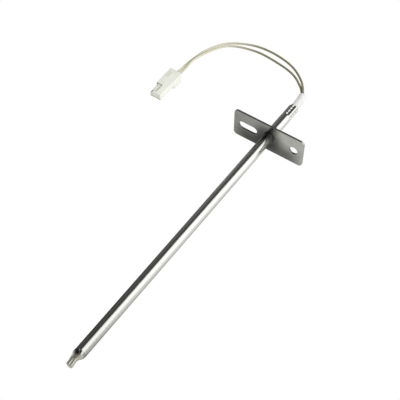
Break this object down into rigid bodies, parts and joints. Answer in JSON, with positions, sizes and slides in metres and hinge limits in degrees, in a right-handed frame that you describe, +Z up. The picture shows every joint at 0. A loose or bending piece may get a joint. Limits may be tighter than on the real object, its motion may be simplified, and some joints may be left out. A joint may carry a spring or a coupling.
{
  "type": "sheathed temperature probe",
  "caption": "Resistance temperature probe: steel sheath with a swaged, fluted tip, slotted mounting flange, insulated leads and a latching nylon connector.",
  "frame": {"origin": "on the surface that the flange and the connector stand on, below the middle of the steel tube", "axes": "+Z up, +Y along the tube from its swaged tip to its wires, +X across the tube along the flange, towards its round hole"},
  "size_m": [0.1058, 0.2489, 0.02],
  "materials": {
    "polished_stainless": "polished",
    "brushed_steel": "satin",
    "nickel": "satin",
    "tinned_brass": "satin",
    "ceramic": "matte",
    "white_sleeving": "satin",
    "glass_fibre": "matte",
    "natural_nylon": "satin"
  },
  "bodies": {
    "probe": {"probe_sheath": "polished_stainless", "mounting_flange": "brushed_steel", "flange_collar": "brushed_steel", "exit_sleeve": "white_sleeving", "lead_wire_a": "glass_fibre", "lead_wire_b": "glass_fibre", "connector_housing": "natural_nylon", "sensing_element": "ceramic", "tip_packing": "ceramic", "ceramic_spacer": "ceramic", "element_lead_a": "nickel", "element_lead_b": "nickel", "splice_barrel_a": "nickel", "splice_barrel_b": "nickel", "splice_sleeve_a": "white_sleeving", "splice_sleeve_b": "white_sleeving", "conductor_front_a": "nickel", "conductor_front_b": "nickel", "inner_lead_a": "glass_fibre", "inner_lead_b": "glass_fibre", "conductor_rear_a": "nickel", "conductor_rear_b": "nickel", "terminal_a": "tinned_brass", "terminal_b": "tinned_brass"},
    "latch": {"connector_latch": "natural_nylon"}
  },
  "joints": [
    {"name": "latch_flex", "type": "hinge", "parent": "probe", "child": "latch", "pos_m": [-0.0793, 0.0711, 0.00575], "axis": [-1, 0, 0], "range_deg": [0, 4.5], "stiffness_Nm_per_rad": 0.02}
  ]
}
